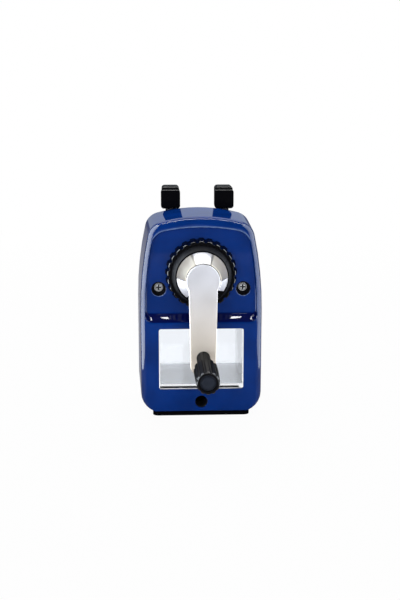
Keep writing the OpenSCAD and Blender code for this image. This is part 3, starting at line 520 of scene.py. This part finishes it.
def merged(node):
    """A copy of a CAD node's triangles with their seams closed and flat faces made whole."""
    b = bmesh.new()
    b.from_mesh(NODES[node].data)
    bmesh.ops.remove_doubles(b, verts=b.verts, dist=0.002 * MM)
    flat = math.radians(0.6)
    bmesh.ops.dissolve_limit(b, angle_limit=flat, verts=b.verts, edges=b.edges)
    for layer in list(b.loops.layers.uv.values()):
        b.loops.layers.uv.remove(layer)
    return b


def soften(b, edge, sharp=BREAK_ANGLE, segments=2, keep=None):
    """Breaks the sharp edges of a mesh, or those that keep allows, by a round of edge mm."""
    limit = math.radians(sharp)
    edges = [e for e in b.edges if e.is_manifold and e.calc_face_angle() > limit]
    bmesh.ops.bevel(
        b,
        geom=[e for e in edges if keep is None or keep(e)],
        offset=edge * MM,
        offset_type="OFFSET",
        segments=segments,
        profile=0.5,
        affect="EDGES",
        clamp_overlap=True,
        material=-1,
    )
    bmesh.ops.dissolve_degenerate(b, dist=0.001 * MM, edges=b.edges)
    return b


def ease(value, start, end):
    """Rises smoothly from 0 at start to 1 at end."""
    return (1 - math.cos(math.pi * min(1.0, max(0.0, (value - start) / (end - start))))) / 2


def swell_ledge(b, top, bottom, reach, rise):
    """Lets the pressed ledge swell on each side of its middle, as drawn sheet does."""
    rows, columns = 24, 26
    setback = 4.0 * MM
    # Shares of the reach where a swell starts and how wide it is, and of the ledge's slope
    # where it is highest and where it has died out
    inner_end, width = 0.1, 0.72
    crest, foot = 0.6, 0.92

    def on_ledge(face):
        height = face.calc_center_median().z
        slopes = face.normal.y < -0.6 and 0.35 < face.normal.z < 0.75
        return slopes and bottom < height < top

    def cut(where, across):
        faces = [f for f in b.faces if on_ledge(f)]
        near = {v for f in faces for v in f.verts} | {e for f in faces for e in f.edges}
        bmesh.ops.bisect_plane(
            b, geom=list(near) + faces, dist=1e-7, plane_co=where, plane_no=across
        )

    for k in range(1, rows):
        cut((0, 0, bottom + (top - bottom) * k / rows), Z)
    for k in range(-columns, columns + 1):
        cut((reach * k / columns, 0, 0), X)
    out = Vector((0.0, -(top - bottom), setback)).normalized()
    touched = {v for f in b.faces if on_ledge(f) for v in f.verts}
    for v in [v for v in touched if all(on_ledge(f) for f in v.link_faces)]:
        down = (top - v.co.z) / (top - bottom)
        side = (abs(v.co.x) / reach - inner_end) / width
        lens = math.sin(math.pi * min(1.0, max(0.0, side)))
        v.co += out * (rise * lens * (ease(down, 0.0, crest) - ease(down, crest, foot)))


def dress(node, name, slot, edge=0.2, sharp=BREAK_ANGLE, segments=2, finish=None):
    """The CAD node's form with its edges broken by edge mm, in its own finish."""
    b = merged(node)
    if edge:
        soften(b, edge, sharp, segments)
    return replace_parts(show(name, b, slot, body_of(node), finish), node)


def refinish(item, slot, where):
    """Gives a second finish to the faces of a piece for which where(centre, normal) holds."""
    item.data.materials.append(finish_for(slot))
    for face in item.data.polygons:
        if where(face.center, face.normal):
            face.material_index = len(item.data.materials) - 1


def closed_end(wire):
    """Turns and length of a spring's closed end, whose coils lie against each other."""
    return 1.5, 3.2 * wire


def coil(b, centre, axis, radius, wire, lengths):
    """Winds round wire from centre along axis: (turns, length) for each stretch, in mm."""
    sides, steps = 10, 26
    side = axis.orthogonal().normalized()
    turn = Matrix((side, axis, axis.cross(side))).transposed()
    ring = bmesh.ops.create_circle(b, segments=sides, radius=wire * MM)["verts"]
    flat = Matrix.Rotation(math.pi / 2, 3, "X")
    place = centre * MM + side * (radius * MM)
    for v in ring:
        p = flat @ v.co
        v.co = place + turn @ Vector((p.x, p.z, 0.0))
    loop = list(ring) + list({e for v in ring for e in v.link_edges})
    for turns, length in lengths:
        count = max(4, round(turns * steps))
        spun_wire = bmesh.ops.spin(
            b,
            geom=loop,
            cent=centre * MM,
            axis=axis,
            dvec=axis * (length * MM / count),
            angle=math.tau * turns,
            steps=count,
            use_merge=False,
            use_duplicate=False,
        )
        loop = spun_wire["geom_last"]
    bmesh.ops.holes_fill(b, edges=[e for e in b.edges if e.is_boundary], sides=0)
    bmesh.ops.recalc_face_normals(b, faces=b.faces)


# The user's settings


def millimetres(name, description, default, low, high):
    """A length property, kept in metres."""
    return bpy.props.FloatProperty(
        name=name,
        description=description,
        default=default * MM,
        min=low * MM,
        max=high * MM,
        precision=5,
        unit="LENGTH",
    )


def colour(name, description, default):
    """A colour property."""
    return bpy.props.FloatVectorProperty(
        name=name,
        description=description,
        default=default,
        size=3,
        min=0.0,
        max=1.0,
        subtype="COLOR",
    )


class SharpenerPaint(bpy.types.PropertyGroup):
    """Colours that a user may change."""

    enamel: colour("Enamel", "Colour of the body's enamel", (0.0012, 0.024, 0.162))
    plastic: colour("Plastic", "Colour of the collar, knob and caps", (0.003, 0.003, 0.0038))
    nickel: colour("Nickel", "Colour of the crank strip's plating", (0.52, 0.51, 0.535))
    window: colour("Drawer", "Tint of the clear drawer", (0.948, 0.967, 0.995))


class SharpenerSizes(bpy.types.PropertyGroup):
    """Edge breaks and wire sizes that a user may change."""

    sheet_edge: millimetres("Sheet edge", "Round on the sheet-metal edges", 0.16, 0.02, 0.4)
    mould_edge: millimetres("Mould edge", "Round on the moulded edges", 0.28, 0.05, 0.6)
    wire: millimetres("Spring wire", "Radius of the return springs' wire", 0.35, 0.2, 0.5)
    turns: bpy.props.FloatProperty(
        name="Spring turns",
        description="Open turns of each return spring",
        default=9.0,
        min=5.0,
        max=14.0,
    )


# Operators


class Piece:
    """What the sharpener's operators share."""

    bl_options = {"REGISTER", "UNDO"}

    @property
    def sheet_edge(self):
        """The round on sheet metal, in mm."""
        return bpy.context.scene.sharpener_sizes.sheet_edge / MM

    @property
    def mould_edge(self):
        """The round on mouldings, in mm."""
        return bpy.context.scene.sharpener_sizes.mould_edge / MM


class BodyShell(Piece, bpy.types.Operator):
    """Add the drawn and enamelled body shell with its sunk panel"""

    bl_idname = "sharpener.body_shell"
    bl_label = "Body shell"

    # The cups pressed in for the frame screws: how far they reach from the screw, and how deep
    # their rims and the panel's own face lie behind the front
    cup_reach, rim_depth, face_depth = 4.7 * MM, 4.6 * MM, 4.2 * MM
    # The cup rims' round in mm, and the angle past which the shell's edges are broken
    rim_round, sharp = 0.4, 42.0
    # The ledge below the panel: shares of the shell's height and half width, and its swell
    ledge_top, ledge_bottom, ledge_reach = 0.5233, 0.4677, 0.85
    swell = 0.27 * MM
    # The ledge's wall, given painted shade: from and to behind the front, and the
    # shares of the height where it ends above, and where the shade starts and is full below
    wall_from, wall_to, wall_top = 0.35 * MM, 3.9 * MM, 0.56
    run_start, run_full = 0.462, 0.482
    # The front edge, given a painted highlight where it leans inwards, above a share of the
    # height
    edge_depth, thin_from, panel_middle = 1.1 * MM, 0.52, 0.72
    thin_lean, lean_spread = 0.6, 0.5

    def run_at(self, share):
        """How strong the ledge's painted shade is at a share of the height, from 0 to 1."""
        return min(1.0, max(0.0, (share - self.run_start) / (self.run_full - self.run_start)))

    def thin_at(self, vertex, height):
        """How strong the painted highlight is on a vertex of the front edge, from 0 to 1."""
        if vertex.co.z <= self.thin_from * height:
            return 0.0
        inward = Vector((-vertex.co.x, 0.0, self.panel_middle * height - vertex.co.z))
        lean = vertex.normal.dot(inward.normalized())
        return max(0.0, 1.0 - abs(lean - self.thin_lean) / self.lean_spread)

    def execute(self, context):
        low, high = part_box("body_shell")
        out, height = frame_screw_place()

        def on_rim(point):
            near = math.hypot(abs(point.x) - out, point.z - height) < self.cup_reach
            return near and point.y < low.y + self.rim_depth

        def rim_edge(e):
            front = min(v.co.y for v in e.verts)
            return all(on_rim(v.co) for v in e.verts) and front < low.y + self.face_depth

        b = merged("body_shell")
        soften(b, self.rim_round, self.sharp, 3, rim_edge)
        soften(b, self.sheet_edge, self.sharp)
        top, bottom = self.ledge_top * high.z, self.ledge_bottom * high.z
        swell_ledge(b, top, bottom, self.ledge_reach * high.x, self.swell)
        thin = b.verts.layers.float.new("thin_paint")
        pooled = b.verts.layers.float.new("pooled_paint")
        b.normal_update()
        for v in b.verts:
            depth, share = v.co.y - low.y, v.co.z / high.z
            # A painted highlight on the faces of the cup rims that look upwards
            if on_rim(v.co) and v.normal.z > 0.2 and v.normal.y < -0.15:
                v[thin] = min(1.0, 1.4 * v.normal.z)
            # Painted shade on the ledge's wall, fading out towards its foot
            on_wall = self.wall_from < depth < self.wall_to and share < self.wall_top
            if on_wall and v.normal.z > 0.12:
                v[pooled] = self.run_at(share)
            # A painted highlight along the front edge
            if depth < self.edge_depth:
                v[thin] = self.thin_at(v, high.z)
        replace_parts(show("enamelled_shell", b, "blue_paint", "housing"), "body_shell")
        return {"FINISHED"}


class Foot(Piece, bpy.types.Operator):
    """Add the base plate, its screws and the rubber foot pad"""

    bl_idname = "sharpener.foot"
    bl_label = "Foot"

    def execute(self, context):
        dress("foot_pad", "rubber_foot", "rubber_black", edge=0.35)
        dress("base_plate", "foot_base_plate", "dark_steel", edge=self.sheet_edge)
        dress("base_screws", "foot_screws", "zinc_steel", edge=0.1)
        return {"FINISHED"}


class InnerFrame(Piece, bpy.types.Operator):
    """Add the socket frame, its screws and posts, and the drawer shelf"""

    bl_idname = "sharpener.inner_frame"
    bl_label = "Inner frame"

    # A frame screw's cross, painted dark as shade: its reach, and from where to where its walls
    # lie below the head
    recess_reach, recess_from, recess_to = 1.6 * MM, 0.3 * MM, 1.2 * MM

    def execute(self, context):
        low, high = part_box("frame_screws")
        out, height = frame_screw_place()

        def in_recess(centre, normal):
            reach = math.hypot(abs(centre.x) - out, centre.z - height)
            depth = centre.y - low.y
            return reach < self.recess_reach and self.recess_from < depth < self.recess_to

        dress("socket_frame", "moulded_frame", "black_matte")
        # The heads take a lighter copy of zinc, painted light for heads that sit in the shaded
        # cups
        screws = dress(
            "frame_screws",
            "cross_head_screws",
            "zinc_steel",
            edge=0.12,
            sharp=30.0,
            segments=3,
            finish="bright_zinc",
        )
        # Painted shade: dark steel on the walls of each screw's cross
        refinish(screws, "dark_steel", in_recess)
        dress("tie_posts", "frame_posts", "zinc_steel", edge=0.12)
        dress("drawer_shelf", "grey_shelf", "grey_steel", edge=0.1)
        return {"FINISHED"}


class EndPlate(Piece, bpy.types.Operator):
    """Add the end plate with its screws and bushes"""

    bl_idname = "sharpener.end_plate"
    bl_label = "End plate"

    def execute(self, context):
        dress("end_plate", "enamelled_end", "blue_paint", edge=0.25)
        dress("end_screws", "end_plate_screws", "zinc_steel", edge=0.1)
        dress("tail_bush", "nylon_tail_bush", "nylon", edge=0.15)
        dress("rod_bushes", "nylon_rod_bushes", "nylon", edge=0.15)
        return {"FINISHED"}


class Collar(Piece, bpy.types.Operator):
    """Add the fluted collar with its ring gear and bush"""

    bl_idname = "sharpener.collar"
    bl_label = "Collar"

    # The collar's nose is matt inside this radius
    nose_radius = 17.6 * MM

    def execute(self, context):
        axis = shaft_height()

        def on_nose(centre, normal):
            return math.hypot(centre.x, centre.z - axis) < self.nose_radius

        edge = self.mould_edge + 0.12
        collar = dress("cutter_collar", "fluted_collar", "black_plastic", edge=edge, segments=3)
        refinish(collar, "matt_plastic", on_nose)
        dress("ring_gear", "cast_ring_gear", "cast_zinc", edge=0.05)
        dress("collar_bush", "bronze_bush", "bronze", edge=0.05)
        return {"FINISHED"}


class Crank(Piece, bpy.types.Operator):
    """Add the crank's hub, strip, pin and knob axle"""

    bl_idname = "sharpener.crank"
    bl_label = "Crank"

    # The hub's hollow and lip, painted dark as shade: the hollow starts at the first radius, and
    # its lip ends at the second
    bore_radius, lip_radius = 6.0 * MM, 9.75 * MM

    def execute(self, context):
        axis = Vector((0.0, 0.0, shaft_height()))

        def in_hollow(centre, normal):
            out = Vector((centre.x, 0.0, centre.z)) - axis
            lip = normal.y < -0.7 and out.length < self.lip_radius
            inward = lip or normal.dot(out.normalized()) < -0.2
            return out.length > self.bore_radius and inward

        hub = dress("crank_hub", "pressed_hub", "nickel", edge=0.06, finish="bright_nickel")
        # Painted shade: dark steel in the hub's hollow and on its lip, where the gap lies in
        # shadow
        refinish(hub, "dark_steel", in_hollow)
        edge = self.sheet_edge + 0.08
        dress("crank_arm", "folded_crank_strip", "nickel", edge=edge, segments=3)
        dress("hub_pin", "crank_pin", "zinc_steel", edge=0.08)
        dress("knob_axle", "riveted_axle", "zinc_steel", edge=0.08)
        return {"FINISHED"}


class Knob(Piece, bpy.types.Operator):
    """Add the grooved knob and its end cap"""

    bl_idname = "sharpener.knob"
    bl_label = "Knob"

    def execute(self, context):
        dress("crank_knob", "grooved_knob", "black_plastic", edge=0.16, finish="grip_plastic")
        dress("knob_cap", "domed_knob_cap", "cap_plastic", edge=0.1)
        return {"FINISHED"}


class Cutter(Piece, bpy.types.Operator):
    """Add the carrier, the tilted axle, the burr and its pinion"""

    bl_idname = "sharpener.cutter"
    bl_label = "Cutter"

    def execute(self, context):
        dress("cutter_carrier", "cast_carrier", "cast_zinc", edge=0.15)
        dress("cutter_axle", "ground_axle", "zinc_steel", edge=0.1)
        dress("cutter_burr", "fluted_burr", "tool_steel", edge=0)
        dress("cutter_pinion", "cut_pinion", "tool_steel", edge=0.05)
        return {"FINISHED"}


class Clamp(Piece, bpy.types.Operator):
    """Add the pencil clamp's plate, bezel, guide rods and clips"""

    bl_idname = "sharpener.clamp"
    bl_label = "Pencil clamp"

    def execute(self, context):
        dress("clip_plate", "plated_clamp_face", "chrome", edge=0.18)
        dress("pencil_bezel", "moulded_bezel", "black_plastic")
        dress("guide_rods", "bright_rods", "chrome")
        dress("rod_clips", "rod_rings", "dark_steel", edge=0.06)
        return {"FINISHED"}


class ReturnSprings(Piece, bpy.types.Operator):
    """Wind the two return springs round the guide rods"""

    bl_idname = "sharpener.return_springs"
    bl_label = "Return springs"

    def execute(self, context):
        low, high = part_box("return_springs")
        sizes = bpy.context.scene.sharpener_sizes
        wire = sizes.wire / MM
        outer = (high.z - low.z) / 2 / MM
        start, length = low.y / MM, (high.y - low.y) / MM
        ends = closed_end(wire)
        middle = (sizes.turns, length - 2 * wire - 2 * ends[1])
        b = bmesh.new()
        for side in (-1, 1):
            x = side * (high.x / MM - outer)
            centre = Vector((x, start + wire, (low.z + high.z) / 2 / MM))
            coil(b, centre, Y, outer - wire, wire, (ends, middle, ends))
        item = show("coil_return_springs", b, "spring_steel", "clamp")
        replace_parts(item, "return_springs")
        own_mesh(item)
        return {"FINISHED"}


class Levers(Piece, bpy.types.Operator):
    """Add the two levers, their pins and their bridge"""

    bl_idname = "sharpener.levers"
    bl_label = "Levers"

    def execute(self, context):
        dress("lever_pins", "domed_lever_pins", "chrome", edge=0.1)
        dress("lever_bridge", "plated_bridge", "zinc_steel", edge=0.12)
        dress("left_lever", "stamped_left_lever", "dark_steel", edge=self.sheet_edge)
        dress("right_lever", "stamped_right_lever", "dark_steel", edge=self.sheet_edge)
        return {"FINISHED"}


class ThumbCaps(Piece, bpy.types.Operator):
    """Add the moulded thumb caps on the levers"""

    bl_idname = "sharpener.thumb_caps"
    bl_label = "Thumb caps"

    def execute(self, context):
        for side in ("left", "right"):
            dress(
                side + "_cap",
                side + "_thumb_cap",
                "black_plastic",
                edge=self.mould_edge,
                segments=3,
                finish="glossy_plastic",
            )
        return {"FINISHED"}


class LeverSpring(Piece, bpy.types.Operator):
    """Wind the spring that holds the two levers apart"""

    bl_idname = "sharpener.lever_spring"
    bl_label = "Lever spring"

    # In mm: the wire's radius, and the open turns of each half
    wire, turns = 0.3, 4.5

    def execute(self, context):
        low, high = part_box("lever_spring")
        wire = self.wire
        middle = (low + high) / 2 / MM
        centre = Vector((0.0, middle.y, middle.z))
        outer = (high.z - low.z) / 2 / MM
        half = (high.x - low.x) / 2 / MM
        end = closed_end(wire)
        for side, name in ((-1, "left"), (1, "right")):
            b = bmesh.new()
            stretches = ((self.turns, half - wire - end[1]), end)
            coil(b, centre, X * side, outer - wire, wire, stretches)
            item = show(name + "_lever_spring", b, "spring_steel", "clamp")
            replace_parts(item, "lever_spring")
            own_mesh(item)
        return {"FINISHED"}


class Drawer(Piece, bpy.types.Operator):
    """Add the clear shavings drawer"""

    bl_idname = "sharpener.drawer"
    bl_label = "Drawer"

    def execute(self, context):
        dress("shavings_drawer", "clear_drawer", "clear_plastic", edge=0.3, segments=3)
        return {"FINISHED"}


class Stage(Piece, bpy.types.Operator):
    """Add the pale floor, the soft lights, the surroundings and the camera"""

    bl_idname = "sharpener.stage"
    bl_label = "Stage"

    # The floor looks white to the camera: by floor_white up to near, and wholly past far
    floor_radius, near, far, floor_white = 6.0, 0.25, 0.8, 0.965
    # Where most lamps aim, and the reflecting cards' tint
    middle, cool = (0.0, 0.0, 0.06), (0.85, 0.93, 1.0)
    # The camera: film and lens in mm, place, and its tilt down and turn right in degrees
    film, lens = 36.0, 59.4
    eye, tilt, turn = (-0.0248, -0.5555, 0.1723), 11.32, 2.596

    def floor(self):
        b = bmesh.new()
        bmesh.ops.create_circle(b, cap_ends=True, segments=96, radius=self.floor_radius)
        mesh = bpy.data.meshes.new("stage_floor")
        b.to_mesh(mesh)
        b.free()
        item = bpy.data.objects.new("stage_floor", mesh)
        bpy.context.scene.collection.objects.link(item)
        look = Look("pale_floor", Roughness=0.9, Specular_IOR_Level=0.0)
        look.feed("Base Color", look.tint(look.noise(3, 2), (0.6, 0.6, 0.61), (0.64, 0.64, 0.64)))
        white = look.node("ShaderNodeEmission", None, {"Color": (*WHITE, 1.0), "Strength": 1.0})
        camera = look.node("ShaderNodeLightPath", output="Is Camera Ray")
        clearer = look.node("ShaderNodeLightPath", output="Is Transmission Ray")
        distance = look.node(
            "ShaderNodeVectorMath", {"operation": "LENGTH"}, {0: look.place}, "Value"
        )
        clean = look.between(distance, self.near, self.far, self.floor_white, 1.0)
        seen = camera.math("MAXIMUM", clearer) * clean
        own = Value(look, look.shader.outputs[0])
        mixed = look.node("ShaderNodeMixShader", None, {0: seen, 1: own, 2: white})
        look.tree.links.new(mixed.socket, look.output.inputs["Surface"])
        item.data.materials.append(look.material)

    def surroundings(self):
        """White to the camera; a room to reflections, darker behind the camera and overhead."""
        world = bpy.data.worlds.new("studio")
        bpy.context.scene.world = world
        world.use_nodes = True
        look = Nodes(world.node_tree)
        towards = look.node("ShaderNodeTexCoord", output="Generated")
        behind = look.between(look.along("Y", towards), -0.75, -0.05)
        above = look.between(look.along("Z", towards), 0.6, 0.95, 1.0, 0.12)
        room = look.between(behind * above, 0.0, 1.0, 0.12, 1.0)
        camera = look.node("ShaderNodeLightPath", output="Is Camera Ray")
        glossy = look.node("ShaderNodeLightPath", output="Is Glossy Ray")
        through = look.node("ShaderNodeLightPath", output="Is Transmission Ray")
        white = camera.math("MAXIMUM", through)
        strength = (1.0 - white) * (glossy * room + (1.0 - glossy) * 0.36) + white
        hue = look.tint((1.0 - white) * glossy, WHITE, (0.82, 0.91, 1.0))
        back = look.node("ShaderNodeBackground", None, {"Color": hue, "Strength": strength})
        output = look.tree.nodes.new("ShaderNodeOutputWorld")
        look.tree.links.new(back.socket, output.inputs["Surface"])

    def lamp(self, name, place, target, size, power, tint=WHITE):
        """A soft light of size metres at place, aimed at target, of power watts."""
        data = bpy.data.lights.new(name, "AREA")
        data.shape, data.size, data.size_y = "RECTANGLE", size[0], size[1]
        data.energy, data.color = power, tint
        item = bpy.data.objects.new(name, data)
        bpy.context.scene.collection.objects.link(item)
        item.location = place
        item.rotation_euler = (Vector(target) - Vector(place)).to_track_quat("-Z", "Y").to_euler()
        item.visible_camera = False
        return item

    def lights(self):
        """Lamps that light the surfaces, and cards that only show as reflections."""
        for lamp in (
            self.lamp("top_light", (0.0, 0.3, 0.9), self.middle, (0.6, 0.5), 4.5),
            self.lamp("front_light", (-0.2, -1.0, 0.45), self.middle, (0.7, 0.4), 3.0),
            self.lamp("bounce_card", (0.0, -0.62, 0.004), (0.0, 0.0, 0.1), (0.8, 0.3), 3.4),
        ):
            lamp.visible_glossy = False
        self.lamp("hub_light", (0.0, 0.55, 0.85), self.middle, (0.8, 0.5), 3.4)
        cards = [self.lamp("overhead_strip", (0.0, -0.17, 0.85), self.middle, (1.1, 0.06), 8.0)]
        for x, name, power in ((-0.13, "left_card", 2.9), (0.13, "right_card", 1.6)):
            place, target = (x, -0.1, 0.15), (0, -0.1, 0.15)
            cards.append(self.lamp(name, place, target, (0.24, 0.3), power, self.cool))
        for card in cards:
            card.visible_diffuse = card.visible_transmission = False

    def camera(self):
        data = bpy.data.cameras.new("camera")
        item = bpy.data.objects.new("camera", data)
        bpy.context.scene.collection.objects.link(item)
        data.sensor_fit, data.sensor_width, data.sensor_height = "AUTO", self.film, self.film
        data.lens = self.lens
        data.clip_start, data.clip_end = 0.01, 50.0
        item.location = self.eye
        item.rotation_euler = (math.radians(90 - self.tilt), 0.0, math.radians(-self.turn))
        bpy.context.scene.camera = item

    def execute(self, context):
        self.floor()
        self.surroundings()
        self.lights()
        self.camera()
        bpy.context.scene.view_settings.view_transform = "Standard"
        return {"FINISHED"}


STEPS = (
    BodyShell,
    Foot,
    InnerFrame,
    EndPlate,
    Collar,
    Crank,
    Knob,
    Cutter,
    Clamp,
    ReturnSprings,
    Levers,
    ThumbCaps,
    LeverSpring,
    Drawer,
    Stage,
)


class SharpenerPanel(bpy.types.Panel):
    """Lists the sharpener's settings and steps"""

    bl_idname = "VIEW3D_PT_sharpener"
    bl_label = "Pencil sharpener"
    bl_space_type = "VIEW_3D"
    bl_region_type = "UI"
    bl_category = "Sharpener"

    def draw(self, context):
        for group in (context.scene.sharpener_paint, context.scene.sharpener_sizes):
            column = self.layout.column(align=True)
            for key in group.bl_rna.properties.keys():
                if key not in ("rna_type", "name"):
                    column.prop(group, key)
        for step in STEPS:
            self.layout.operator(step.bl_idname)


CLASSES = (SharpenerPaint, SharpenerSizes, *STEPS, SharpenerPanel)


def register():
    for item in CLASSES:
        bpy.utils.register_class(item)
    bpy.types.Scene.sharpener_paint = bpy.props.PointerProperty(type=SharpenerPaint)
    bpy.types.Scene.sharpener_sizes = bpy.props.PointerProperty(type=SharpenerSizes)


def unregister():
    del bpy.types.Scene.sharpener_sizes
    del bpy.types.Scene.sharpener_paint
    for item in reversed(CLASSES):
        bpy.utils.unregister_class(item)


def main():
    register()
    for step in STEPS:
        group, name = step.bl_idname.split(".")
        getattr(getattr(bpy.ops, group), name)()
    bpy.context.view_layer.update()


if __name__ == "__main__":
    main()
